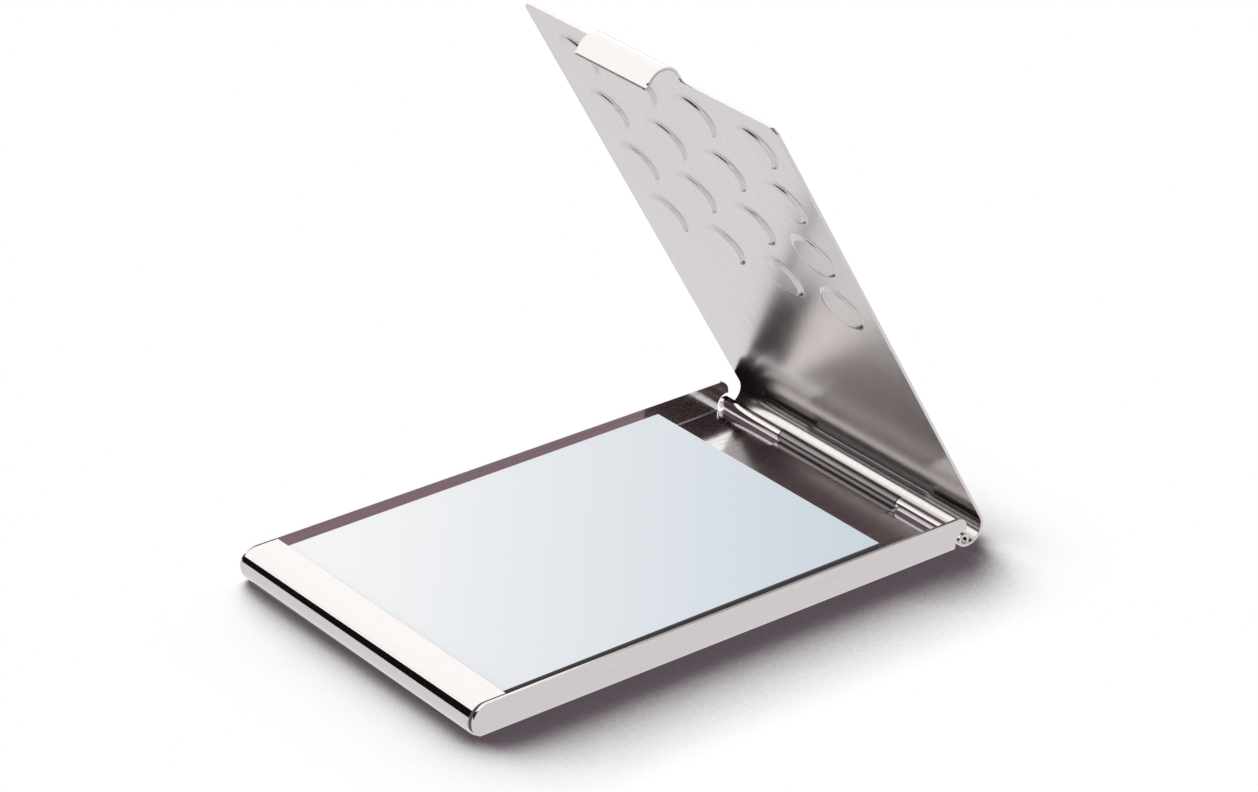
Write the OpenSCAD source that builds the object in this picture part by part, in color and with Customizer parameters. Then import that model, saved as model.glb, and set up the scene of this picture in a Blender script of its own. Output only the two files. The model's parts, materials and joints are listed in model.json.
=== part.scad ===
// Folded sheet-metal business card case.
//
// Frame: X across the width, Y along the length with the front roll at -Y and the hinge
// at +Y, Z up. Z = 0 is the underside of the floor. The lid is drawn at open_angle, which
// is how the case stands when its hinge joint reads zero.

/* [Case] */
// Width over the two side plates
case_w = 60; // [58:0.5:80]
// Length of the closed case, front roll to the back of the lid
case_l = 105; // [95:0.5:125]
// Height of the side plates
tray_h = 5.8; // [5.6:0.1:8]
// Thickness of the sheet both folded pieces are made of
sheet_t = 0.5; // [0.4:0.05:0.6]

/* [Front roll and lip] */
// Distance from the front of the roll to the back edge of the lip
lip_l = 7.2; // [6:0.1:12]
// Slit between each end of the roll and its side plate
roll_gap = 0.3; // [0.2:0.05:0.6]
// Set-back of the rounded plate noses behind the front of the roll
nose_back = 0.4; // [0.2:0.05:0.8]
// Inside radius of the folds between floor and side plates
fold_r = 0.3; // [0.2:0.05:0.5]

/* [Hinge] */
// Diameter of the hinge pin
pin_d = 1.2; // [1:0.05:1.4]
// Set-back of the pin's ends inside the outer knuckles
pin_back = 1; // [0.3:0.1:2]
// Radial running clearance of the lid knuckles on the pin
pin_fit = 0.03; // [0.02:0.01:0.05]
// Length of the middle knuckle, which belongs to the tray
knuckle_l = 29; // [20:0.5:36]
// Free space between neighbouring knuckles
knuckle_gap = 0.2; // [0.15:0.05:0.4]
// Turn of the lid's rear bend past its lowest point, before it curls round the pin
curl_turn = 30; // [26:1:34]
// Radius of the clearance notch in the side plates round the knuckle ends
notch_r = 1.9; // [1.7:0.1:2.1]
// Radius of the upper rear corners of the side plates
plate_corner_r = 2.2; // [1.5:0.1:2.4]

/* [Lid] */
// Angle between the closed lid and the lid as drawn
open_angle = 58; // [0:1:115]
// Free height between the side plates and the closed lid
lid_gap = 0.05; // [0.05:0.01:0.1]
// Distance the free edge of the lid stays behind the front of the roll
edge_back = 4.3; // [3.8:0.1:6]
// Radius of the two corners of the free edge
lid_corner_r = 2; // [1:0.1:4]

/* [Clip] */
// Width of the spring clip on the free edge
clip_w = 17; // [12:0.5:24]
// Free space between the closed clip and the front roll
clip_gap = 0.1; // [0.1:0.05:0.3]
// Turn of the clip below the widest point of the roll
clip_turn = 36; // [20:1:40]
// Inside radius of the flared end of the clip
flare_r = 0.5; // [0.3:0.05:0.7]
// Turn of the flared end
flare_turn = 75; // [40:1:80]

/* [Dimples] */
// Dimples in each direction
dimple_n = 4; // [1:1:4]
// Diameter of a dimple, which is a dent outside and stands proud inside
dimple_d = 9.2; // [6:0.1:10]
// Depth of a dimple
dimple_h = 0.45; // [0.2:0.05:0.5]
// Spacing of the dimples across the width
dimple_pitch_x = 14.1; // [11:0.1:14.5]
// Spacing of the dimples along the length
dimple_pitch_y = 13; // [11:0.1:16]
// Distance from the free edge to the first row of centres
dimple_edge = 8.7; // [7:0.1:12]

/* [Hidden] */
$fn = 64;
eps = 0.01;

front_y = -case_l / 2;
rear_y = case_l / 2;
plate_in = case_w / 2 - sheet_t;

// front roll: one half turn of the floor sheet
roll_r = tray_h / 2;
roll_y = front_y + roll_r;
roll_half_w = plate_in - roll_gap;
lip_y = front_y + lip_l;
nose_y = roll_y + nose_back;

// lid in its closed position: a panel, a rear bend and a curl round the pin
lid_z0 = tray_h + lid_gap;
lid_z1 = lid_z0 + sheet_t;
bend_r = lid_z1 / 2;
bend_y = rear_y - bend_r;
lid_bore_r = pin_d / 2 + pin_fit;
knuckle_r = lid_bore_r + sheet_t;
pin_y = bend_y + (bend_r - knuckle_r) * sin(curl_turn);
pin_z = bend_r - (bend_r - knuckle_r) * cos(curl_turn);
free_y = front_y + edge_back;
lid_tail_x = knuckle_l / 2 + knuckle_gap;
// the bend ends this many degrees before its outside would meet the curl's exactly
curl_step = 4;

// rear edges of the tray
floor_end = pin_y - notch_r;
plate_end = pin_y + 0.4;
ramp_y = floor_end - 2.5;
ramp_z = pin_z - knuckle_r;

// clip, wrapped round the front roll when the lid is closed
clip_r = lid_z1 - roll_r;
clip_in = clip_r - sheet_t;
clip_y = roll_y - roll_r - clip_gap + clip_in;
clip_z = roll_r;
clip_end = [clip_y - (clip_r + flare_r) * cos(clip_turn), clip_z - (clip_r + flare_r) * sin(clip_turn)];

// part of a plane ring between two angles less than 180 degrees apart
module ring_sector(r_out, r_in, a0, a1) {
    reach = 4 * r_out;
    mid = (a0 + a1) / 2;
    intersection() {
        difference() {
            circle(r = r_out);
            circle(r = r_in);
        }
        polygon([
            [0, 0],
            [reach * cos(a0), reach * sin(a0)],
            [reach * cos(mid), reach * sin(mid)],
            [reach * cos(a1), reach * sin(a1)]
        ]);
    }
}

// a profile drawn in the Y-Z plane, given a width centred on X = 0
module across(width) {
    translate([-width / 2, 0, 0])
        rotate([90, 0, 90])
            linear_extrude(height = width)
                children();
}

// a Y-Z profile between two X positions
module across_from(x0, x1) {
    translate([(x0 + x1) / 2, 0, 0])
        across(x1 - x0)
            children();
}

// outline of the side plates: round nose, round rear corner, notch for the knuckles
module plate_outline() {
    difference() {
        union() {
            translate([nose_y, roll_r])
                circle(r = roll_r);
            translate([nose_y, 0])
                square([plate_end - plate_corner_r - nose_y, tray_h]);
            translate([nose_y, 0])
                square([plate_end - nose_y, tray_h - plate_corner_r]);
            translate([plate_end - plate_corner_r, tray_h - plate_corner_r])
                circle(r = plate_corner_r);
        }
        translate([pin_y, pin_z])
            circle(r = notch_r);
        translate([floor_end, -1])
            square([2 * notch_r + 1, pin_z + 1]);
    }
}

// one lower corner of the trough section, bent with fold_r inside
module fold_corner(r) {
    translate([case_w / 2 - sheet_t - fold_r, sheet_t + fold_r])
        circle(r = r);
}

// the section of the trough: floor and two side plates
module trough_section() {
    outer_r = fold_r + sheet_t;
    difference() {
        union() {
            translate([-case_w / 2, outer_r])
                square([case_w, tray_h - outer_r]);
            translate([-case_w / 2 + outer_r, 0])
                square([case_w - 2 * outer_r, tray_h]);
            fold_corner(outer_r);
            mirror([1, 0])
                fold_corner(outer_r);
        }
        translate([-plate_in, outer_r])
            square([2 * plate_in, tray_h]);
        translate([-plate_in + fold_r, sheet_t])
            square([2 * (plate_in - fold_r), tray_h]);
        fold_corner(fold_r);
        mirror([1, 0])
            fold_corner(fold_r);
    }
}

// the trough, cut to the outline of the plates, without its floor ahead of the roll
module trough() {
    difference() {
        intersection() {
            translate([0, rear_y, 0])
                rotate([90, 0, 0])
                    linear_extrude(height = case_l)
                        trough_section();
            across(case_w + 2)
                plate_outline();
        }
        translate([-plate_in, front_y - 1, -1])
            cube([2 * plate_in, roll_r + 1, tray_h]);
    }
}

// the floor sheet rolled up at the front and laid back as the lip
module roll_profile() {
    translate([roll_y, roll_r]) {
        ring_sector(roll_r, roll_r - sheet_t, 90, 180);
        ring_sector(roll_r, roll_r - sheet_t, 180, 270);
    }
    translate([roll_y - eps, tray_h - sheet_t])
        square([lip_y - roll_y + eps, sheet_t]);
    translate([roll_y - eps, 0])
        square([2 * sheet_t, sheet_t]);
}

// the tongue of the floor that rises to the pin and curls round it
module tray_knuckle_profile() {
    difference() {
        union() {
            translate([pin_y, pin_z])
                circle(r = knuckle_r);
            polygon([
                [ramp_y, 0],
                [pin_y, ramp_z],
                [pin_y, ramp_z + sheet_t],
                [ramp_y, sheet_t]
            ]);
            translate([ramp_y - sheet_t, 0])
                square([sheet_t + eps, sheet_t]);
        }
        translate([pin_y, pin_z])
            circle(r = pin_d / 2);
    }
}

// the closed lid where it has its own knuckles
module lid_curl_profile() {
    difference() {
        union() {
            translate([bend_y, bend_r])
                ring_sector(bend_r, bend_r - sheet_t, curl_turn - 90 + curl_step, 90);
            translate([pin_y, pin_z])
                circle(r = knuckle_r);
        }
        translate([pin_y, pin_z])
            circle(r = lid_bore_r);
    }
}

// the closed lid in the middle, cut short above the tray's knuckle
module lid_bend_profile() {
    translate([bend_y, bend_r])
        ring_sector(bend_r, bend_r - sheet_t, curl_turn - 58, 90);
}

// the spring clip: wrapped round the roll, then flared outwards
module clip_profile() {
    translate([clip_y, lid_z0])
        square([free_y - clip_y + sheet_t, sheet_t]);
    translate([clip_y, clip_z])
        ring_sector(clip_r, clip_in, 90, 180 + clip_turn);
    translate(clip_end)
        ring_sector(flare_r + sheet_t, flare_r, clip_turn - flare_turn, clip_turn + 1);
}

// flat panel of the lid with rounded corners at its free edge
module lid_panel() {
    r = lid_corner_r;
    half_w = case_w / 2;
    translate([0, 0, lid_z0])
        linear_extrude(height = sheet_t)
            union() {
                translate([-half_w, free_y + r])
                    square([case_w, bend_y - free_y - r + eps]);
                translate([-half_w + r, free_y])
                    square([case_w - 2 * r, r + eps]);
                for (side = [-1, 1])
                    translate([side * (half_w - r), free_y + r])
                        circle(r = r);
            }
}

// centres of the dimples on the closed lid
module at_dimples() {
    for (i = [0 : dimple_n - 1], j = [0 : dimple_n - 1])
        translate([
            (i - (dimple_n - 1) / 2) * dimple_pitch_x,
            free_y + dimple_edge + j * dimple_pitch_y,
            0
        ])
            children();
}

// the lid as it lies when the case is shut
module lid_closed() {
    difference() {
        union() {
            lid_panel();
            at_dimples()
                translate([0, 0, lid_z0 - dimple_h])
                    cylinder(h = dimple_h + eps, d1 = dimple_d - 2 * dimple_h, d2 = dimple_d);
        }
        at_dimples()
            translate([0, 0, lid_z1 - dimple_h])
                cylinder(
                    h = dimple_h + eps,
                    d1 = dimple_d - sheet_t - 2 * dimple_h,
                    d2 = dimple_d - sheet_t
                );
    }
    for (side = [0, 1])
        mirror([side, 0, 0])
            across_from(lid_tail_x, case_w / 2)
                lid_curl_profile();
    across(2 * lid_tail_x)
        lid_bend_profile();
    across(clip_w)
        clip_profile();
}

module tray() {
    color("silver") {
        trough();
        across(2 * roll_half_w)
            roll_profile();
        across(knuckle_l)
            tray_knuckle_profile();
    }
}

module lid() {
    color("gainsboro")
        translate([0, pin_y, pin_z])
            rotate([-open_angle, 0, 0])
                translate([0, -pin_y, -pin_z])
                    lid_closed();
}

module hinge_pin() {
    color("dimgray")
        translate([-case_w / 2 + pin_back, pin_y, pin_z])
            rotate([0, 90, 0])
                cylinder(h = case_w - 2 * pin_back, d = pin_d);
}

tray();
lid();
hinge_pin();
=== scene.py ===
# %% [markdown]
# # A business card case folded from two pieces of sheet steel
#
# The real case is a tray and a lid, each cut from half-millimetre stainless sheet and
# folded, and a wire pin that joins them. Nothing is moulded or cast, so everything here
# is built the way the metalworker does it: a flat sheet, a bend, a rolled edge. This
# lesson builds the lid as one sheet with pressed dimples, breaks the sharp edges of the
# tray, turns the pin, and then makes the finishes: mirror polish outside, a lengthwise
# brush inside and bright sheared edges.

import json
import math

import bmesh
import bpy
from mathutils import Matrix, Vector


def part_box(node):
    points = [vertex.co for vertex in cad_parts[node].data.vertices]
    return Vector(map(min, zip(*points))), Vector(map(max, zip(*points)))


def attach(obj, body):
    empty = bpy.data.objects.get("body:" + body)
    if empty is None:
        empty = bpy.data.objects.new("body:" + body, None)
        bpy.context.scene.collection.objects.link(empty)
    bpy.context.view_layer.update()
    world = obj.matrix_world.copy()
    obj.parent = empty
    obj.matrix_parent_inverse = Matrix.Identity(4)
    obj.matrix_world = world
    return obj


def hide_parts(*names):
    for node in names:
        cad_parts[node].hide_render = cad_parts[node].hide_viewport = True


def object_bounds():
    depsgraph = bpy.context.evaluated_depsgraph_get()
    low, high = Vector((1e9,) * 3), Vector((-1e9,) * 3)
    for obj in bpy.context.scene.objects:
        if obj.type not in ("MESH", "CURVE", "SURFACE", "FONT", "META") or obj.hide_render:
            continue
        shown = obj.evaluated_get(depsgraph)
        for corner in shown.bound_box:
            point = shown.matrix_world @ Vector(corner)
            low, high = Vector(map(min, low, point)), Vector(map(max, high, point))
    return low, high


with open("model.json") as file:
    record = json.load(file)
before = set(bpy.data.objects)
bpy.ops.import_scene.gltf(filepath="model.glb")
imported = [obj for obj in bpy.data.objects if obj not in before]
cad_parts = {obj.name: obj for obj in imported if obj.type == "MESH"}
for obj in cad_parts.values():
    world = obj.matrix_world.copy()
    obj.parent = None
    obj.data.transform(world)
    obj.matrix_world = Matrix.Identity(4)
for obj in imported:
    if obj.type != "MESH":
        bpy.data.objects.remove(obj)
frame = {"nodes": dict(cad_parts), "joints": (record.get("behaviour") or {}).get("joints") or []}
cad_low, cad_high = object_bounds()
print("case as designed, in mm:", [round(1000 * v, 2) for v in cad_high - cad_low])

# %% [markdown]
# ## Sizes
#
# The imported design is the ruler. The tray's own box gives the width, the height of the
# side plates and where the front roll starts, and the hinge gives the pin's axis and how
# far the lid stands open. Only what a box cannot tell, such as the thickness of the
# sheet, is written down here, in millimetres.

# %% Sizes of the case
MM = 0.001
MICRON = 0.001 * MM
SHEET = 0.5 * MM  # thickness of the steel
LID_GAP = 0.05 * MM  # closed lid above the side plates
EDGE_BACK = 4.3 * MM  # free edge of the lid behind the front of the case
CORNER_R = 2 * MM  # rounded corners of the free edge
PIN_FIT = 0.03 * MM  # running clearance of the lid on the pin
CURL_TURN = 30  # degrees before the bottom of the rear bend, where the curl begins
TAIL_X = 14.7 * MM  # the lid's own knuckles start this far from the middle

hinge = frame["joints"][0]
pin_axis = Vector(hinge["pos_m"])
open_angle = math.radians(-hinge["range_deg"][0])
tray_low, tray_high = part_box("tray")
pin_low, pin_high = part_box("hinge_pin")

half_w = tray_high.x
front_y, tray_h = tray_low.y, tray_high.z
pin_r = (pin_high.z - pin_low.z) / 2
lid_z0 = tray_h + LID_GAP
bend_r = (lid_z0 + SHEET) / 2
bend_y = -front_y - bend_r
free_y = front_y + EDGE_BACK
lid_mid_z = lid_z0 + SHEET / 2
print("lid stands open", round(math.degrees(open_angle), 1), "degrees")
print("pin radius", round(pin_r / MM, 2), "mm")

# %% [markdown]
# ## The lid's outline, seen from the side
#
# From the free edge the lid runs flat to the back, bends down round the rear of the case
# and curls three quarters of the way round the pin. At the front a narrow strip goes on
# over the edge, wraps round the front roll and flares out: that is the spring clip that
# snaps the case shut. An arc of short steps in the Y-Z plane is all it takes to draw each bend, so
# the profile is a list of arcs that follow the middle of the sheet.


# %% Draw the profile
def arc(centre, radius, start, end, steps):
    """Points on an arc in the Y-Z plane, from start to end in degrees."""
    turns = [math.radians(start + (end - start) * i / steps) for i in range(steps + 1)]
    return [(centre[0] + radius * math.cos(t), centre[1] + radius * math.sin(t)) for t in turns]


CLIP_TURN = 36  # degrees that the clip wraps on below the foremost point of the roll
FLARE_TURN = 75  # degrees that its end flares back out
FLARE_R = 0.5 * MM  # inner radius of the flare
CLIP_GAP = 0.1 * MM  # clip in front of the roll, with the lid closed
CURL_END = -332  # degrees, where the curl round the pin stops
MIDDLE_ROWS = 24  # the bend ends early above the tray's own knuckle

roll_r = tray_h / 2
clip_r = lid_z0 + SHEET - roll_r
clip_mid = (front_y - CLIP_GAP + clip_r - SHEET, roll_r)
flare_mid = (
    clip_mid[0] - (clip_r + FLARE_R) * math.cos(math.radians(CLIP_TURN)),
    clip_mid[1] - (clip_r + FLARE_R) * math.sin(math.radians(CLIP_TURN)),
)
clip_line = arc(flare_mid, FLARE_R + SHEET / 2, CLIP_TURN - FLARE_TURN, CLIP_TURN, 12)
clip_line += arc(clip_mid, clip_r - SHEET / 2, 180 + CLIP_TURN, 90, 28)[1:]

curl_start = CURL_TURN - 90
curl_r = pin_r + PIN_FIT + SHEET / 2
bend_line = arc((bend_y, bend_r), bend_r - SHEET / 2, 90, curl_start, 30)
curl_line = arc((pin_axis.y, pin_axis.z), curl_r, curl_start, CURL_END, 26)[1:]
print(len(clip_line), "rows in the clip,", len(bend_line) + len(curl_line), "in the bend and curl")

# %% [markdown]
# ## The lid as one grid
#
# A folded sheet is a grid: one direction runs across the case, the other follows the
# profile. Making the whole lid one grid keeps the reflections flowing over the bends. The
# columns are set so that the dimple field divides evenly, and the rows near the free edge
# are narrowed to round its corners. The distance along the sheet is stored as a UV map in
# metres, because the brushed grain of the steel has to follow it round the bends.

# %% Rows and columns
PITCH_X, PITCH_Y, DIMPLES = 14.1 * MM, 13 * MM, 4
FIRST_ROW = 8.7 * MM  # first dimple centres behind the free edge
CELL = 24  # grid faces along one side of a dimple's cell
CLIP_HALF = 8.5 * MM  # half of the clip's width
DRAW_IN = 3 * MM  # the columns start to draw in this far inside a rounded corner
MARGIN_STEPS = (0.3, 0.6, 0.85, 1)  # columns between the dimple field and the side
FRONT_STEPS = (0, 0.06, 0.16, 0.32, 0.55, 0.8)  # rows before it, closest at the corners
FLAT_STEPS = 12  # rows between the dimple field and the rear bend

field_x = DIMPLES / 2 * PITCH_X
field_y0 = free_y + FIRST_ROW - PITCH_Y / 2
field_y1 = field_y0 + DIMPLES * PITCH_Y
margin = [field_x + (half_w - field_x) * f for f in MARGIN_STEPS]
inner = [-field_x + PITCH_X * i / CELL for i in range(DIMPLES * CELL + 1)]
columns = [-x for x in reversed(margin)] + inner + margin


def corner_narrowing(y):
    """How much of the half width is lost to the rounded corner at this row."""
    into = CORNER_R - (y - free_y)
    return CORNER_R - math.sqrt(max(0, CORNER_R**2 - into**2)) if into > 0 else 0


front_rows = [free_y + (field_y0 - free_y) * f for f in FRONT_STEPS]
field_rows = [field_y0 + PITCH_Y * i / CELL for i in range(DIMPLES * CELL + 1)]
flat_rows = [field_y1 + (bend_y - field_y1) * i / FLAT_STEPS for i in range(1, FLAT_STEPS)]
panel_line = [(y, lid_mid_z) for y in front_rows + field_rows + flat_rows]
profile = clip_line + panel_line + bend_line + curl_line
first_panel = len(clip_line)
first_bend = first_panel + len(panel_line)
print(len(profile), "rows by", len(columns), "columns")


# %% Make the flat grid
def lid_columns(row, y):
    """X positions of the columns on one row of the lid."""
    narrow = corner_narrowing(y) if row >= first_panel else 0
    start = half_w - CORNER_R - DRAW_IN
    squeeze = (half_w - narrow - start) / (half_w - start)
    clip_col = max(x for x in columns if x <= CLIP_HALF)
    xs = []
    for x in columns:
        if abs(x) <= clip_col + 1e-9 and row <= first_panel:
            x *= CLIP_HALF / clip_col
        if narrow and abs(x) > start:
            x = math.copysign(start + (abs(x) - start) * squeeze, x)
        xs.append(x)
    return xs


def lid_sheet():
    """The middle surface of the closed lid, with its length and width as a UV map."""
    bm = bmesh.new()
    uv = bm.loops.layers.uv.new("sheet")
    along, rows, travelled = [], [], 0
    for row, (y, z) in enumerate(profile):
        if row:
            travelled += math.dist(profile[row - 1], (y, z))
        along.append(travelled)
        rows.append([bm.verts.new((x, y, z)) for x in lid_columns(row, y)])
    for row in range(len(profile) - 1):
        for col in range(len(columns) - 1):
            x = (columns[col] + columns[col + 1]) / 2
            if row < first_panel and abs(x) > CLIP_HALF:
                continue
            if row >= first_bend + MIDDLE_ROWS and abs(x) < TAIL_X:
                continue
            a, b = rows[row], rows[row + 1]
            face = bm.faces.new((a[col], a[col + 1], b[col + 1], b[col]))
            face.smooth = True
            for loop in face.loops:
                r = row if loop.vert in (a[col], a[col + 1]) else row + 1
                loop[uv].uv = (loop.vert.co.x, along[r])
    bmesh.ops.delete(bm, geom=[v for v in bm.verts if not v.link_faces], context="VERTS")
    mesh = bpy.data.meshes.new("lid_sheet")
    bm.to_mesh(mesh)
    bm.free()
    return mesh


lid_object = bpy.data.objects.new("lid_sheet", lid_sheet())
bpy.context.scene.collection.objects.link(lid_object)
flat_faces = lid_object.data.polygons
print("flat lid:", len(flat_faces), "faces, facing", flat_faces[len(flat_faces) // 2].normal[:])

# %% [markdown]
# ## Node groups: small helpers
#
# Both geometry and shader trees are written in code here, so four tiny helpers keep the
# lines short. One adds a node and sets its values, two more do so for the nodes that are
# used most, Math and Map Range, and the last adds a named socket to a node group's outside.


# %% Node helpers
def add(tree, kind, values=None, **settings):
    """A new node. Settings go to its properties, values to its input sockets."""
    node = tree.nodes.new(kind)
    for name, value in settings.items():
        setattr(node, name, value)
    for socket, value in (values or {}).items():
        if isinstance(value, bpy.types.NodeSocket):
            tree.links.new(value, node.inputs[socket])
        else:
            node.inputs[socket].default_value = value
    return node


def maths(tree, operation, a, b=0.0, c=0.0):
    """The result of one Math node."""
    return add(tree, "ShaderNodeMath", {0: a, 1: b, 2: c}, operation=operation).outputs[0]


def ramp(tree, value, low, high, to_low=0.0, to_high=1.0, smooth=False):
    """A Map Range node: what runs from low to high comes out from to_low to to_high."""
    node = add(tree, "ShaderNodeMapRange", {0: value, 1: low, 2: high, 3: to_low, 4: to_high})
    node.interpolation_type = "SMOOTHSTEP" if smooth else "LINEAR"
    return node.outputs[0]


def socket(tree, name, kind, value=None, out=False):
    """A named input or output on the outside of a node group."""
    side = "OUTPUT" if out else "INPUT"
    made = tree.interface.new_socket(name, in_out=side, socket_type="NodeSocket" + kind)
    if value is not None:
        made.default_value = value
    return made.identifier


# %% [markdown]
# ## Press the dimples
#
# Sixteen shallow round dimples are pressed into the lid from outside, four by four, for
# the fingers to hold. Inside they stand proud. They all follow one rule, so Geometry Nodes
# presses them: each grid point works out which cell of the pattern it lies in and how far
# it is from that cell's centre. Squares of grid points round a centre are first pulled
# into circles, because a round wall only looks clean when the faces follow it, and then
# the points inside the wall are pushed in.


# %% The dimple press
DIMPLE_INSIDE, DIMPLE_OUTSIDE = 3.9 * MM, 4.6 * MM  # radius of the dent's floor and rim
DIMPLE_DEPTH = 0.45 * MM
FLOOR_RING, WALL_RING = 0.25, 0.75  # share of a cell's squares on the floor, on floor and wall
FLOOR_REACH, WALL_REACH = 0.94, 1.05  # how the floor's and the wall's circles overlap the wall
RIM_SPREAD = 0.13  # share of the pitch that the circles outside the wall grow by
FIELD_EDGE = 0.0001  # in cells, so that points on the outline of the field stay put
PANEL_Z = 5 * MM  # what lies lower is not the flat panel


def dimple_press():
    """A geometry node group that presses a field of round dimples into a flat sheet."""
    tree = bpy.data.node_groups.new("dimple_press", "GeometryNodeTree")
    ids = {"Geometry": socket(tree, "Geometry", "Geometry")}
    for name, value in (
        ("Pitch X", PITCH_X), ("Pitch Y", PITCH_Y), ("Start Y", 0.0),
        ("Wall Outside", DIMPLE_OUTSIDE), ("Wall Inside", DIMPLE_INSIDE), ("Depth", DIMPLE_DEPTH),
    ):
        ids[name] = socket(tree, name, "Float", value)
    ids["Across"] = socket(tree, "Across", "Int", DIMPLES)
    ids["Finish"] = socket(tree, "Finish", "Material")
    socket(tree, "Geometry", "Geometry", out=True)
    given = tree.nodes.new("NodeGroupInput").outputs
    place = add(tree, "GeometryNodeInputPosition").outputs[0]
    xyz = add(tree, "ShaderNodeSeparateXYZ", {0: place}).outputs
    count = given["Across"]
    from_middle = maths(tree, "DIVIDE", xyz[0], given["Pitch X"])
    cells_x = maths(tree, "ADD", from_middle, maths(tree, "DIVIDE", count, 2.0))
    from_start = maths(tree, "SUBTRACT", xyz[1], given["Start Y"])
    cells_y = maths(tree, "DIVIDE", from_start, given["Pitch Y"])
    u = maths(tree, "SUBTRACT", maths(tree, "FRACT", cells_x), 0.5)
    v = maths(tree, "SUBTRACT", maths(tree, "FRACT", cells_y), 0.5)
    square = maths(tree, "MAXIMUM", maths(tree, "ABSOLUTE", u), maths(tree, "ABSOLUTE", v))
    ring = maths(tree, "MULTIPLY", square, 2.0)
    dx = maths(tree, "MULTIPLY", u, given["Pitch X"])
    dy = maths(tree, "MULTIPLY", v, given["Pitch Y"])
    away = add(tree, "ShaderNodeCombineXYZ", {0: dx, 1: dy}).outputs[0]
    heading = add(tree, "ShaderNodeVectorMath", {0: away}, operation="NORMALIZE").outputs[0]
    inside_r = maths(tree, "MULTIPLY", given["Wall Inside"], FLOOR_REACH)
    outside_r = maths(tree, "MULTIPLY", given["Wall Outside"], WALL_REACH)
    floor_r = ramp(tree, ring, 0.0, FLOOR_RING, 0.0, inside_r)
    wall_r = ramp(tree, ring, FLOOR_RING, WALL_RING, inside_r, outside_r)
    rim_growth = maths(tree, "MULTIPLY", given["Pitch X"], RIM_SPREAD)
    rim_r = ramp(tree, ring, WALL_RING, 1.0, 0.0, rim_growth)
    in_floor = maths(tree, "LESS_THAN", ring, FLOOR_RING)
    dent_r = add(tree, "ShaderNodeMix", {0: in_floor, 2: wall_r, 3: floor_r}).outputs[0]
    radius = maths(tree, "ADD", dent_r, rim_r)
    scaled = {0: heading, 3: radius}
    circle = add(tree, "ShaderNodeVectorMath", scaled, operation="SCALE").outputs[0]
    to_square = ramp(tree, ring, WALL_RING, 1.0, smooth=True)
    between = add(tree, "ShaderNodeMix", {0: to_square, 4: circle, 5: away}, data_type="VECTOR")
    moved = between.outputs[1]
    shift = add(tree, "ShaderNodeVectorMath", {0: moved, 1: away}, operation="SUBTRACT").outputs[0]
    push = ramp(
        tree, radius, given["Wall Outside"], given["Wall Inside"], 0.0, given["Depth"], smooth=True,
    )
    lift = add(tree, "ShaderNodeCombineXYZ", {2: maths(tree, "MULTIPLY", push, -1.0)}).outputs[0]
    offset = add(tree, "ShaderNodeVectorMath", {0: shift, 1: lift}, operation="ADD").outputs[0]
    cells = (cells_x, cells_y)
    last = maths(tree, "SUBTRACT", count, FIELD_EDGE)
    within = [maths(tree, "GREATER_THAN", c, FIELD_EDGE) for c in cells]
    within += [maths(tree, "LESS_THAN", c, last) for c in cells]
    within.append(maths(tree, "GREATER_THAN", xyz[2], PANEL_Z))
    chosen = within[0]
    for mask in within[1:]:
        chosen = maths(tree, "MULTIPLY", chosen, mask)
    place_at = {0: given["Geometry"], "Selection": chosen, "Offset": offset}
    pressed = add(tree, "GeometryNodeSetPosition", place_at).outputs[0]
    real = add(tree, "GeometryNodeRealizeInstances", {0: pressed}).outputs[0]
    dressed = add(tree, "GeometryNodeSetMaterial", {0: real, "Material": given["Finish"]})
    out = tree.nodes.new("NodeGroupOutput")
    tree.links.new(dressed.outputs[0], out.inputs[0])
    return tree, ids


press, press_inputs = dimple_press()
print("dimple press has", len(press.nodes), "nodes")

# %% [markdown]
# ## Shader groups the steels share
#
# Three effects come back in every finish of the case. Brushing leaves fine and broad
# streaks that run one way, so it is noise stretched about a hundred times and more along
# the stroke. Handling leaves soft smears of skin oil and a few hairline scratches. Both
# groups put out plain masks, and each steel decides how much of them it shows.


# %% Brushed grain and handling marks
FINE, BROAD, STROKE = 0.12 * MM, 0.6 * MM, 50 * MM  # width of the streaks, and their length
SMEAR_SIZE = 20 * MM
HAIRLINES = ((0.4, 3.1), (-0.9, 11.7))  # heading in radians and shift of each set of scratches
HAIRLINE_SCALE = (9000, 60, 9000)  # repeats in a metre, across and along a scratch


def brushed_grain():
    """Streaks along Y of the given vector, in metres: fine ones and broad ones."""
    tree = bpy.data.node_groups.new("brushed_grain", "ShaderNodeTree")
    socket(tree, "Vector", "Vector")
    for name, value in (("Fine", FINE), ("Broad", BROAD), ("Stroke", STROKE)):
        socket(tree, name, "Float", value)
    socket(tree, "Streaks", "Float", out=True)
    socket(tree, "Bands", "Float", out=True)
    given = tree.nodes.new("NodeGroupInput").outputs
    out = tree.nodes.new("NodeGroupOutput")
    for width, name in (("Fine", "Streaks"), ("Broad", "Bands")):
        across = maths(tree, "DIVIDE", 1.0, given[width])
        along = maths(tree, "DIVIDE", 1.0, given["Stroke"])
        scale = add(tree, "ShaderNodeCombineXYZ", {0: across, 1: along, 2: across}).outputs[0]
        both = {0: given["Vector"], 1: scale}
        stretched = add(tree, "ShaderNodeVectorMath", both, operation="MULTIPLY").outputs[0]
        grain = {"Vector": stretched, "Scale": 1.0, "Detail": 3.0}
        noise = add(tree, "ShaderNodeTexNoise", grain).outputs[0]
        tree.links.new(ramp(tree, noise, 0.3, 0.7), out.inputs[name])
    return tree


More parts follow.
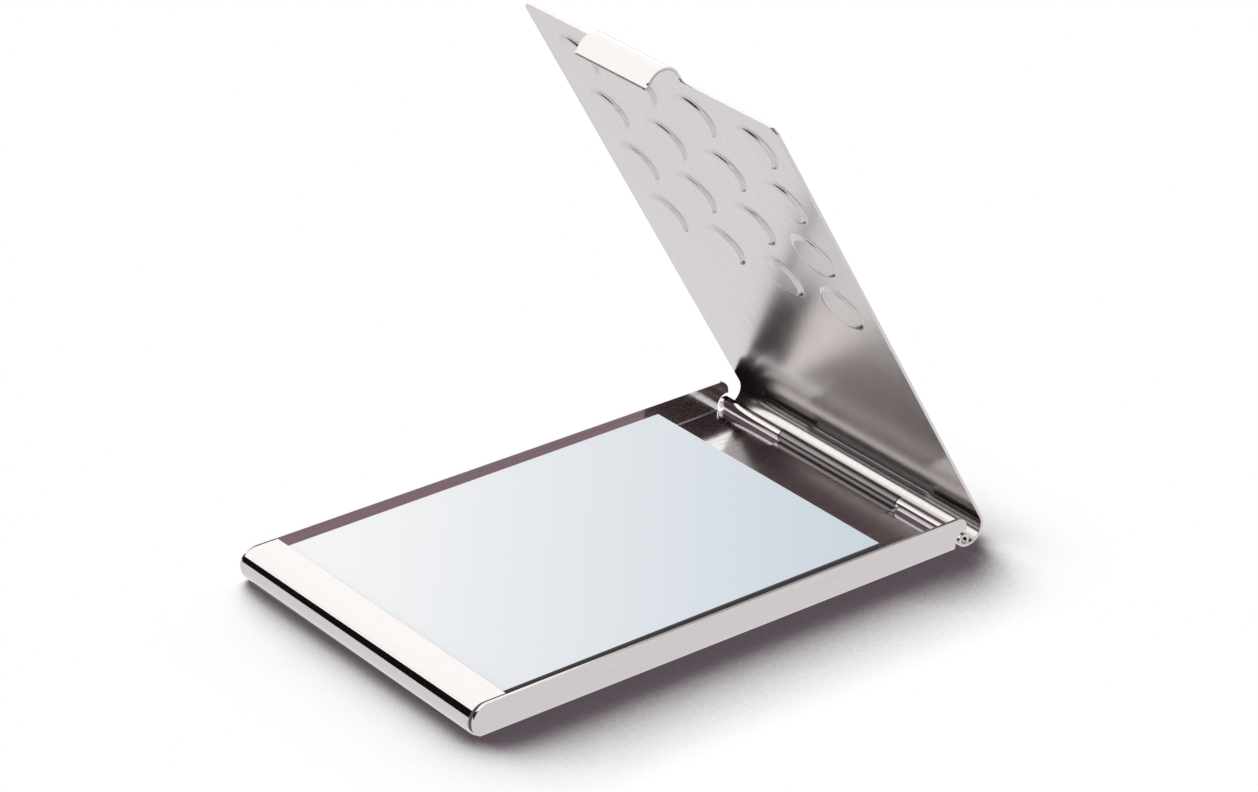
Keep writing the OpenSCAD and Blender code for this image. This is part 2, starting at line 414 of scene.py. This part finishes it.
def handling_marks():
    """Soft smears and a few hairline scratches, as masks."""
    tree = bpy.data.node_groups.new("handling_marks", "ShaderNodeTree")
    socket(tree, "Vector", "Vector")
    socket(tree, "Smear Size", "Float", SMEAR_SIZE)
    socket(tree, "Smears", "Float", out=True)
    socket(tree, "Scratches", "Float", out=True)
    given = tree.nodes.new("NodeGroupInput").outputs
    out = tree.nodes.new("NodeGroupOutput")
    scale = maths(tree, "DIVIDE", 1.0, given["Smear Size"])
    cloudy = {"Vector": given["Vector"], "Scale": scale, "Detail": 4.0, "Distortion": 0.6}
    smear = add(tree, "ShaderNodeTexNoise", cloudy).outputs[0]
    tree.links.new(ramp(tree, smear, 0.45, 0.7, smooth=True), out.inputs["Smears"])
    scratches = []
    for heading, shift in HAIRLINES:
        turned = add(tree, "ShaderNodeMapping", {
            0: given["Vector"], "Location": (shift, 0, 0), "Rotation": (0.2, 0.1, heading),
            "Scale": HAIRLINE_SCALE,
        }).outputs[0]
        thin = {"Vector": turned, "Scale": 1.0, "Detail": 1.0}
        noise = add(tree, "ShaderNodeTexNoise", thin).outputs[0]
        scratches.append(ramp(tree, noise, 0.74, 0.78))
    tree.links.new(maths(tree, "MAXIMUM", *scratches), out.inputs["Scratches"])
    return tree


GRAIN, MARKS = brushed_grain(), handling_marks()
print("shared shader groups:", GRAIN.name, MARKS.name)

# %% [markdown]
# ## The steels
#
# It is one alloy with six surfaces. The outside is buffed to a mirror, with the buffing
# still showing as the faintest lines. The inside keeps the mill's lengthwise brush, which
# spreads reflections sideways: it is satin in the lid and finer, but more streaked, in the
# tray. Sheared edges are bright and a little rough. The tray's knuckle is streaked by its
# rolling, and its colour is halved as a painted dark reflection. The drawn wire of the pin
# is darker still. Metal has no colour but that of its reflection, so the warm grey of the
# steel is the base colour and the rest is roughness and bump.


# %% Make a steel
STEEL = (0.64, 0.605, 0.605)
BROAD_SHARE = 0.45  # how much of the grain is broad bands, the rest being fine streaks
CREST, VALLEY = 1.03, 0.08  # gain of the grain's bright lines, and loss of its dark ones
BUMP_STRENGTH = 0.5


def steel(name, tone, rough, grain, smear, relief, uv=None, anisotropic=0.0):
    """A steel finish. Rough is its (lowest, highest) roughness, grain how much streaks
    change it, smear how much handling dulls it, and relief the depth of the grain."""
    material = bpy.data.materials.new(name)
    material.use_nodes = True
    tree = material.node_tree
    shader = tree.nodes["Principled BSDF"]
    if uv:
        where = add(tree, "ShaderNodeUVMap", uv_map=uv).outputs[0]
    else:
        where = add(tree, "ShaderNodeTexCoord").outputs["Object"]
    lines = add(tree, "ShaderNodeGroup", {}, node_tree=GRAIN)
    marks = add(tree, "ShaderNodeGroup", {}, node_tree=MARKS)
    for group in (lines, marks):
        tree.links.new(where, group.inputs["Vector"])
    fine_and_broad = {0: BROAD_SHARE, 2: lines.outputs["Streaks"], 3: lines.outputs["Bands"]}
    streaks = add(tree, "ShaderNodeMix", fine_and_broad).outputs[0]
    spread = ramp(tree, streaks, 0.0, 1.0, rough[0], rough[0] + (rough[1] - rough[0]) * grain)
    dulled = maths(tree, "MULTIPLY_ADD", marks.outputs["Smears"], smear, spread)
    scuffed = maths(tree, "MULTIPLY_ADD", marks.outputs["Scratches"], smear, dulled)
    tree.links.new(scuffed, shader.inputs["Roughness"])
    bright = tuple(min(1, c * tone * CREST) for c in STEEL) + (1,)
    dark = tuple(c * tone * (1 - VALLEY * grain) for c in STEEL) + (1,)
    colour = add(tree, "ShaderNodeMix", {0: streaks, 6: bright, 7: dark}, data_type="RGBA")
    tree.links.new(colour.outputs[2], shader.inputs["Base Color"])
    ridges = {"Strength": BUMP_STRENGTH, "Distance": relief, "Height": streaks}
    tree.links.new(add(tree, "ShaderNodeBump", ridges).outputs[0], shader.inputs["Normal"])
    shader.inputs["Metallic"].default_value = 1.0
    shader.inputs["Anisotropic"].default_value = anisotropic
    return material


polished = steel(
    "polished_steel", 1.0, (0.045, 0.07), 0.6, 0.015, 0.01 * MICRON, uv="sheet",
)
satin = steel(
    "satin_steel", 1.0, (0.16, 0.21), 1.0, 0.03, 0.08 * MICRON, uv="sheet", anisotropic=0.3,
)
brushed = steel(
    "brushed_steel", 1.1, (0.08, 0.11), 4.0, 0.04, 0.2 * MICRON, uv="sheet", anisotropic=0.4,
)
sheared = steel("sheared_edge", 1.05, (0.18, 0.3), 1.0, 0.03, 0.5 * MICRON, uv="sheet")
# The knuckle's tone of 0.5 halves its colour as a painted dark reflection. Its strong grain streaks
# it along its rolling.
knuckle_painted_dark = steel("drawn_knuckle_painted_dark", 0.5, (0.1, 0.13), 7.0, 0.02, 0.2 * MICRON, uv="sheet")
wire = steel("drawn_wire", 0.14, (0.35, 0.5), 1.0, 0.06, 0.5 * MICRON)
print("steels:", [m.name for m in (polished, satin, brushed, sheared, knuckle_painted_dark, wire)])

# %% [markdown]
# ## From grid to sheet
#
# The press runs first, as a modifier on the thin grid, and its result is kept as a plain
# mesh. Solidify then gives the steel its thickness on both sides of the middle, and puts
# the satin finish on the inner face and the sheared finish on the cut edges. A very small
# bevel breaks those edges, because even a sheared sheet catches a line of light there.
# Last of all the closed lid is swung open about the pin.


# %% Press the lid
BROKEN_EDGE = 0.05 * MM  # bevel on the cut edges of the lid
SHARP = math.radians(50)  # an edge sharper than this is broken


def plain_mesh(obj, name):
    """The object's evaluated shape as a plain mesh, with its modifiers gone."""
    graph = bpy.context.evaluated_depsgraph_get()
    made = bpy.data.meshes.new_from_object(obj.evaluated_get(graph), depsgraph=graph)
    made.name = name
    obj.modifiers.clear()
    obj.data = made
    return made


def break_edges(obj, width):
    """A small rounded bevel on every sharp edge."""
    bevel = obj.modifiers.new("broken_edges", "BEVEL")
    bevel.width, bevel.segments = width, 2
    bevel.limit_method, bevel.angle_limit = "ANGLE", SHARP
    bevel.use_clamp_overlap = True
    even = obj.modifiers.new("even_shading", "WEIGHTED_NORMAL")
    even.mode, even.weight, even.keep_sharp = "FACE_AREA_WITH_ANGLE", 90, False


modifier = lid_object.modifiers.new("dimples", "NODES")
modifier.node_group = press
for name, value in (
    ("Pitch X", PITCH_X), ("Pitch Y", PITCH_Y), ("Start Y", field_y0),
    ("Wall Outside", DIMPLE_OUTSIDE), ("Wall Inside", DIMPLE_INSIDE), ("Depth", DIMPLE_DEPTH),
    ("Across", DIMPLES), ("Finish", polished),
):
    modifier[press_inputs[name]] = value
pressed = plain_mesh(lid_object, "lid_pressed")
print("after pressing:", len(pressed.polygons), "faces of", pressed.materials[0].name)

# %% Thickness, edges and pose of the lid
lid_object.data.materials.append(satin)
lid_object.data.materials.append(sheared)
thick = lid_object.modifiers.new("thickness", "SOLIDIFY")
thick.thickness, thick.offset = SHEET, 0
thick.material_offset, thick.material_offset_rim = 1, 2
thick.use_even_offset = True
break_edges(lid_object, BROKEN_EDGE)
lid_mesh = plain_mesh(lid_object, "lid_steel_sheet")
swing = Matrix.Rotation(-open_angle, 4, "X")
lid_mesh.transform(Matrix.Translation(pin_axis) @ swing @ Matrix.Translation(-pin_axis))
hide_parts("lid")
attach(lid_object, "lid_body")
print("lid:", len(lid_mesh.polygons), "faces in", len(lid_mesh.materials), "finishes")

# %% [markdown]
# ## The tray
#
# The tray is the exact folded shape of the design: floor, two plates, a front roll with
# its lip, and a tongue that curls round the pin. Its imported mesh is loose triangles, so a
# copy is welded, its flat faces are joined, and its edges are broken with the same small
# bevel. Each face then takes its finish by where it lies and looks: the knuckle is drawn
# and darkened as a painted dark reflection, what faces the cards is brushed, the cut top
# edges are sheared, and the rest is polished.


# %% Weld and finish the tray
POLISHED, BRUSHED, SHEARED, KNUCKLE = range(4)  # the tray's finishes, in slot order
KNUCKLE_R = pin_r + SHEET + 0.15 * MM  # what lies this near the pin is the knuckle
TONGUE_Y = pin_axis.y - 2.4 * MM  # behind this the floor rises to the pin
NEAR = 0.05 * MM  # closer than this counts as touching
TRAY_EDGE = 0.09 * MM  # widest bevel on the tray, which narrow faces clamp
WELD = MICRON  # corners nearer than this are one corner
FLAT_WITHIN = math.radians(0.6)  # faces that meet flatter than this are one face


def welded_copy(node, name):
    """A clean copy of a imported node: welded, with the triangles of flat faces joined."""
    bm = bmesh.new()
    bm.from_mesh(frame["nodes"][node].data)
    bmesh.ops.remove_doubles(bm, verts=bm.verts, dist=WELD)
    bmesh.ops.dissolve_limit(bm, angle_limit=FLAT_WITHIN, verts=bm.verts, edges=bm.edges)
    for face in bm.faces:
        face.smooth = True
    mesh = bpy.data.meshes.new(name)
    bm.to_mesh(mesh)
    bm.free()
    return mesh


def tray_finish(centre, normal):
    """Which steel a face of the tray shows."""
    if math.dist(centre.yz, pin_axis.yz) < KNUCKLE_R and abs(centre.x) < TAIL_X:
        return KNUCKLE
    plate_x = half_w - SHEET - 0.02 * MM
    top = centre.z > tray_h - NEAR
    if top and abs(normal.z) > 0.9 and abs(centre.x) > plate_x:
        return SHEARED
    behind_roll = centre.y > front_y + roll_r
    if behind_roll and abs(centre.x) < plate_x + NEAR and centre.z < tray_h - NEAR:
        towards_cards = normal.z > 0.3 or normal.x * centre.x < -0.3 * abs(centre.x)
        if towards_cards and centre.y < TONGUE_Y:
            return BRUSHED
    return POLISHED


tray_object = bpy.data.objects.new("tray_sheet", welded_copy("tray", "tray_steel_sheet"))
bpy.context.scene.collection.objects.link(tray_object)
break_edges(tray_object, TRAY_EDGE)
tray_mesh = plain_mesh(tray_object, "tray_steel_sheet")
tray_mesh.materials.clear()
for finish in (polished, brushed, sheared, knuckle_painted_dark):
    tray_mesh.materials.append(finish)
sheet_uv = tray_mesh.uv_layers.new(name="sheet")
counts = [0, 0, 0, 0]
for face in tray_mesh.polygons:
    face.material_index = tray_finish(face.center, face.normal)
    counts[face.material_index] += 1
    for corner in face.loop_indices:
        x, y, z = tray_mesh.vertices[tray_mesh.loops[corner].vertex_index].co
        sheet_uv.data[corner].uv = (math.copysign(abs(x) + z, x), y)
        if face.material_index == KNUCKLE:
            sheet_uv.data[corner].uv = (y - z, x)
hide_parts("tray")
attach(tray_object, "tray_body")
print("tray faces, polished, brushed, sheared and knuckle:", counts)

# %% [markdown]
# ## The hinge pin
#
# The pin is a straight length of drawn wire with its ends tumbled round. A lathe shape is
# a half outline turned about an axis: the outline has a point on the axis at each end, so
# the ends are closed, and a few rings near them for the rounding.


# %% Turn the pin
PIN_END = [(0.0, 0.0), (0.02, 0.45), (0.07, 0.75), (0.15, 0.92), (0.26, 1.0)]  # mm, share of radius
PIN_SIDES, PIN_LENGTHS = 40, 8


def turned_pin():
    """The pin as rings about its axis, closed with a point at both ends."""
    length = pin_high.x - pin_low.x
    ends = [(d * MM, r * pin_r) for d, r in PIN_END]
    stations = [(pin_low.x + d, r) for d, r in ends]
    stations += [(pin_low.x + length * i / PIN_LENGTHS, pin_r) for i in range(1, PIN_LENGTHS)]
    stations += [(pin_high.x - d, r) for d, r in reversed(ends)]
    bm = bmesh.new()
    rings = []
    for x, r in stations:
        turns = [2 * math.pi * i / PIN_SIDES for i in range(PIN_SIDES if r else 1)]
        points = [(pin_axis.y + r * math.cos(t), pin_axis.z + r * math.sin(t)) for t in turns]
        rings.append([bm.verts.new((x, y, z)) for y, z in points])
    for a, b in zip(rings, rings[1:]):
        for i in range(PIN_SIDES):
            corners = [a[i % len(a)], b[i % len(b)], b[(i + 1) % len(b)], a[(i + 1) % len(a)]]
            face = bm.faces.new(list(dict.fromkeys(corners)))
            face.smooth = True
    bmesh.ops.recalc_face_normals(bm, faces=bm.faces)
    mesh = bpy.data.meshes.new("hinge_pin_wire")
    bm.to_mesh(mesh)
    bm.free()
    return mesh


pin_object = bpy.data.objects.new("hinge_wire", turned_pin())
bpy.context.scene.collection.objects.link(pin_object)
pin_object.data.materials.append(wire)
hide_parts("hinge_pin")
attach(pin_object, "tray_body")
print("pin length", round((pin_high.x - pin_low.x) / MM, 2), "mm")

# %% [markdown]
# ## The table and a pack of blank cards
#
# Polished steel shows nothing but its surroundings, so the surroundings are half of the
# material. The case lies on a plain white table. A pack of blank cards lies in the tray
# with a thin dark sheet behind it, painted shade for the gap there, because the inside of
# the lid mirrors both. Two strips of black paper stand out of sight, a large one in front
# to the left and a small one beside the hinge: only mirrors see them, and the large one
# draws the dark line along the front roll.
# All of it is staging and not part of the case.
#
# Lit by lamps, this staging would be uneven, and the steel would mirror that. So each
# staging material glows by itself, in one even brightness for mirrors, and for the camera
# with a soft shadow that comes from how much of the sky is hidden nearby.


# %% Plain boxes and a glowing material for the staging
def stage_box(name, low, high, turn_by=0.0):
    """A plain box for staging, turned about the vertical through its middle."""
    mesh = bpy.data.meshes.new(name)
    bm = bmesh.new()
    bmesh.ops.create_cube(bm, size=1)
    size = Vector(high) - Vector(low)
    middle = (Vector(high) + Vector(low)) / 2
    bm.transform(Matrix.Diagonal((*size, 1)))
    bm.transform(Matrix.Translation(middle) @ Matrix.Rotation(turn_by, 4, "Z"))
    bm.to_mesh(mesh)
    bm.free()
    obj = bpy.data.objects.new(name, mesh)
    bpy.context.scene.collection.objects.link(obj)
    return obj


SURFACE = (0, 0, 0)  # stands for the surface's own direction
SKY_SAMPLES = 12


def shaded_stage(name, dark, light, mirrored, reach=MM, towards=SURFACE, low=0, high=1):
    """Staging that glows evenly, so nothing but the case decides how the steel looks.
    Mirrors see it in the plain mirrored colour. Seen straight, it carries painted shade: it
    goes from light to dark where less than low to high of the sky in a direction is open
    within the given reach."""
    material = bpy.data.materials.new(name)
    material.use_nodes = True
    tree = material.node_tree
    tree.nodes.remove(tree.nodes["Principled BSDF"])
    if towards == SURFACE:
        lean = add(tree, "ShaderNodeNewGeometry").outputs["Normal"]
    else:
        x, y, z = Vector(towards).normalized()
        lean = add(tree, "ShaderNodeCombineXYZ", {0: x, 1: y, 2: z}).outputs[0]
    nearby = {"Distance": reach, "Normal": lean}
    sky = add(tree, "ShaderNodeAmbientOcclusion", nearby, samples=SKY_SAMPLES).outputs["AO"]
    lit = ramp(tree, sky, low, high, smooth=True)
    seen = add(tree, "ShaderNodeMix", {0: lit, 6: (*dark, 1), 7: (*light, 1)}, data_type="RGBA")
    straight = add(tree, "ShaderNodeLightPath").outputs["Is Camera Ray"]
    either = {0: straight, 6: (*mirrored, 1), 7: seen.outputs[2]}
    colour = add(tree, "ShaderNodeMix", either, data_type="RGBA").outputs[2]
    glow = add(tree, "ShaderNodeEmission", {"Color": colour})
    tree.links.new(glow.outputs[0], tree.nodes["Material Output"].inputs[0])
    return material, tree, seen


# %% The table
TABLE_HALF, TABLE_DEEP = 3, 0.1  # metres
CLEAR = 0.02 * MM  # keeps staging from touching what it lies against
WHITE = (1, 1, 1)

table = stage_box(
    "table", (-TABLE_HALF, -TABLE_HALF, -TABLE_DEEP), (TABLE_HALF, TABLE_HALF, -CLEAR),
)
# The table glows white, with a painted shadow round the case in its dark colour: darkest where the
# case hides the sky towards the left within 24 mm.
table_white_painted_shadow = shaded_stage(
    "table_white_painted_shadow", (0.1, 0.075, 0.09), WHITE, (0.965, 0.965, 0.97),
    reach=24 * MM, towards=(-0.84, 0.04, 0.42), low=0.6, high=0.95,
)[0]
table.data.materials.append(table_white_painted_shadow)
print("table of", 2 * TABLE_HALF, "m")

# %% The pack of cards
CARD_W, CARD_L = 55 * MM, 85 * MM
CARD_TOP, CARD_REAR = 5.15 * MM, 33.4 * MM  # where the pack's top and rear edge lie
CARD_THICK = 0.3 * MM
CARD_TURN = math.radians(0.3)  # the pack lies a little askew
# The top card's fade from pale to blue towards the near side and the rear is painted shade, the
# shade of the lid.
SHADE_FADE_ALONG = (7, 8, 0)  # direction and steepness of the top card's fade to blue
PALE, SHADE_BLUE = (0.92, 0.92, 0.93), (0.6, 0.67, 0.73)

card_x = -CARD_W / 2
# The top card's dark colour is painted shade, darkest along the walls and the lip where the sky is
# hidden within 5 mm.
card_with_painted_shade, card_tree, card_mix = shaded_stage(
    "card_with_painted_shade", (0.06, 0.045, 0.05), WHITE, (0.9, 0.89, 0.89), reach=5 * MM, low=0.35,
)
place = add(card_tree, "ShaderNodeTexCoord").outputs["Object"]
along = {0: place, 1: SHADE_FADE_ALONG}
across = add(card_tree, "ShaderNodeVectorMath", along, operation="DOT_PRODUCT").outputs["Value"]
shade_fade = {0: ramp(card_tree, across, -0.5, 0.45), 6: (*PALE, 1), 7: (*SHADE_BLUE, 1)}
shade_fading = add(card_tree, "ShaderNodeMix", shade_fade, data_type="RGBA")
card_tree.links.new(shade_fading.outputs[2], card_mix.inputs[7])

# The pack's sides glow grey, darker where hidden, and mirror as dark mauve: painted shade for the
# narrow gaps round the pack.
pack_sides_painted_shade = shaded_stage(
    "pack_sides_painted_shade", (0.05, 0.04, 0.045), (0.5, 0.5, 0.5), (0.34, 0.245, 0.28),
    reach=5 * MM, low=0.4,
)[0]
for name, paper, low_z, high_z in (
    ("top_card", card_with_painted_shade, CARD_TOP - CARD_THICK, CARD_TOP),
    ("pack_of_cards", pack_sides_painted_shade, SHEET + CLEAR, CARD_TOP - CARD_THICK - CLEAR),
):
    front_corner = (card_x, CARD_REAR - CARD_L, low_z)
    card = stage_box(name, front_corner, (card_x + CARD_W, CARD_REAR, high_z), CARD_TURN)
    card.data.materials.append(paper)
print("cards reach from", round((CARD_REAR - CARD_L) / MM, 1), "to", round(CARD_REAR / MM, 1), "mm")

# %% The gap behind the cards and the black paper
GAP_SHADE, INK = (0.1, 0.07, 0.08), (0.01, 0.005, 0.006)
PAPER_MID = Vector((-125, -163, 52.5)) * MM  # middle of the large strip
PAPER_HALF = Vector((150, 0.5, 52.5)) * MM  # half of its length, thickness and height
PAPER_TURN = math.radians(20.4)

# This thin dark sheet behind the pack is painted shade, standing for the gap between the cards and
# the hinge.
rear_gap = stage_box(
    "rear_gap",
    (card_x, CARD_REAR + 0.3 * MM, SHEET + CLEAR),
    (-card_x, CARD_REAR + 0.4 * MM, CARD_TOP - 0.5 * MM),
)
gap_shade = shaded_stage("gap_shade", GAP_SHADE, GAP_SHADE, (0.15, 0.09, 0.105))[0]
rear_gap.data.materials.append(gap_shade)

black_paper = shaded_stage("black_paper", INK, INK, INK)[0]
black_card = stage_box("black_card", PAPER_MID - PAPER_HALF, PAPER_MID + PAPER_HALF, PAPER_TURN)
notch_card = stage_box(
    "notch_card",
    (-half_w - 0.4 * MM, 49.5 * MM, 0),
    (-half_w - 0.3 * MM, 56.5 * MM, 6.2 * MM),
)
for card in (black_card, notch_card):
    card.data.materials.append(black_paper)
    for ray in ("camera", "diffuse", "shadow"):
        setattr(card, "visible_" + ray, False)
print("black paper stands", round(PAPER_MID.xy.length / MM), "mm from the middle of the case")

# %% [markdown]
# ## Light
#
# The studio is one big white softbox overhead to the left, leaning back, in a dim room,
# and a weaker one behind to the right, which lights the back of the lid. Both are painted
# on the world by direction, because a mirror shows the shape of a light, not only its
# brightness. The camera itself sees plain white in place of the room. A soft lamp from the
# softbox's side, which the steel does not mirror, lifts the darkest corner by the hinge a
# little.

# %% World and lamp
SOFTBOX, SECOND, UP = (-0.62, 0.15, 0.77), (0.72, 0.5, 0.4), (0, 0, 1)
SOFTBOX_LIGHT, SECOND_LIGHT = 1.55, 0.75
ROOM_LOW, ROOM_HIGH = 0.05, 0.3  # brightness of the room at the table and overhead
DIM_TINT, BRIGHT_TINT = (1.0, 0.55, 0.6), (0.975, 0.985, 0.965)

world = bpy.data.worlds.new("studio")
bpy.context.scene.world = world
world.use_nodes = True
studio = world.node_tree
toward = add(studio, "ShaderNodeTexCoord").outputs["Generated"]


def facing(direction):
    """How far a direction on the world looks towards the given one, from -1 to 1."""
    both = {0: toward, 1: tuple(Vector(direction).normalized())}
    return add(studio, "ShaderNodeVectorMath", both, operation="DOT_PRODUCT").outputs["Value"]


softbox = ramp(studio, facing(SOFTBOX), 0.40, 0.48, smooth=True)
room = ramp(studio, facing(UP), -0.1, 0.9, ROOM_LOW, ROOM_HIGH, smooth=True)
second = ramp(studio, facing(SECOND), 0.82, 0.99, 0.0, SECOND_LIGHT, smooth=True)
lights = {0: softbox, 2: maths(studio, "ADD", room, second), 3: SOFTBOX_LIGHT}
brightness = add(studio, "ShaderNodeMix", lights).outputs[0]
tints = {0: ramp(studio, brightness, 0.0, 0.5), 6: (*DIM_TINT, 1), 7: (*BRIGHT_TINT, 1)}
tint = add(studio, "ShaderNodeMix", tints, data_type="RGBA").outputs[2]
tinted = {0: tint, 3: brightness}
light = add(studio, "ShaderNodeVectorMath", tinted, operation="SCALE").outputs[0]
straight = add(studio, "ShaderNodeLightPath").outputs["Is Camera Ray"]
either = {0: straight, 6: light, 7: (*WHITE, 1)}
colour = add(studio, "ShaderNodeMix", either, data_type="RGBA").outputs[2]
studio.links.new(colour, studio.nodes["Background"].inputs["Color"])


def lamp(name, direction, strength, angle):
    """A soft distant lamp that shines from a direction and isn't mirrored by the steel."""
    data = bpy.data.lights.new(name, "SUN")
    data.energy, data.angle = strength, math.radians(angle)
    obj = bpy.data.objects.new(name, data)
    obj.rotation_mode = "QUATERNION"
    obj.rotation_quaternion = Vector(direction).to_track_quat("Z", "Y")
    obj.visible_glossy = False
    bpy.context.scene.collection.objects.link(obj)


lamp("key", (-0.8, 0.3, 0.7), strength=2.4, angle=30)
bpy.context.scene.view_settings.view_transform = "Standard"
print("world made of", len(studio.nodes), "nodes")

# %% [markdown]
# ## Camera
#
# A long lens from well back keeps the edges of a small object nearly parallel, as in a
# catalogue picture. The camera is placed by its direction round the case and its distance
# from a point a little below the middle, and turned slightly about its own axis.

# %% Place the camera
AZIMUTH, ELEVATION, ROLL = (math.radians(a) for a in (48.75, 27.4, 2.83))
AIM_OFFSET = Vector((0.53, 0.7, -15.11)) * MM  # from the middle of the case's box
DISTANCE = 0.7171  # metres from there to the camera
LENS, SENSOR = 129.04, 36  # millimetres

aim = (cad_low + cad_high) / 2 + AIM_OFFSET
level = math.cos(ELEVATION)
away = Vector((math.sin(AZIMUTH) * level, -math.cos(AZIMUTH) * level, math.sin(ELEVATION)))
camera = bpy.data.objects.new("camera", bpy.data.cameras.new("camera"))
camera.data.lens, camera.data.sensor_width = LENS, SENSOR
camera.data.clip_start, camera.data.clip_end = 0.05, 20
camera.location = aim + away * DISTANCE
look = (-away).to_track_quat("-Z", "Y").to_matrix().to_4x4()
camera.rotation_mode = "QUATERNION"
camera.rotation_quaternion = (look @ Matrix.Rotation(ROLL, 4, "Z")).to_quaternion()
bpy.context.scene.collection.objects.link(camera)
bpy.context.scene.camera = camera
print("camera", [round(v, 4) for v in camera.location])
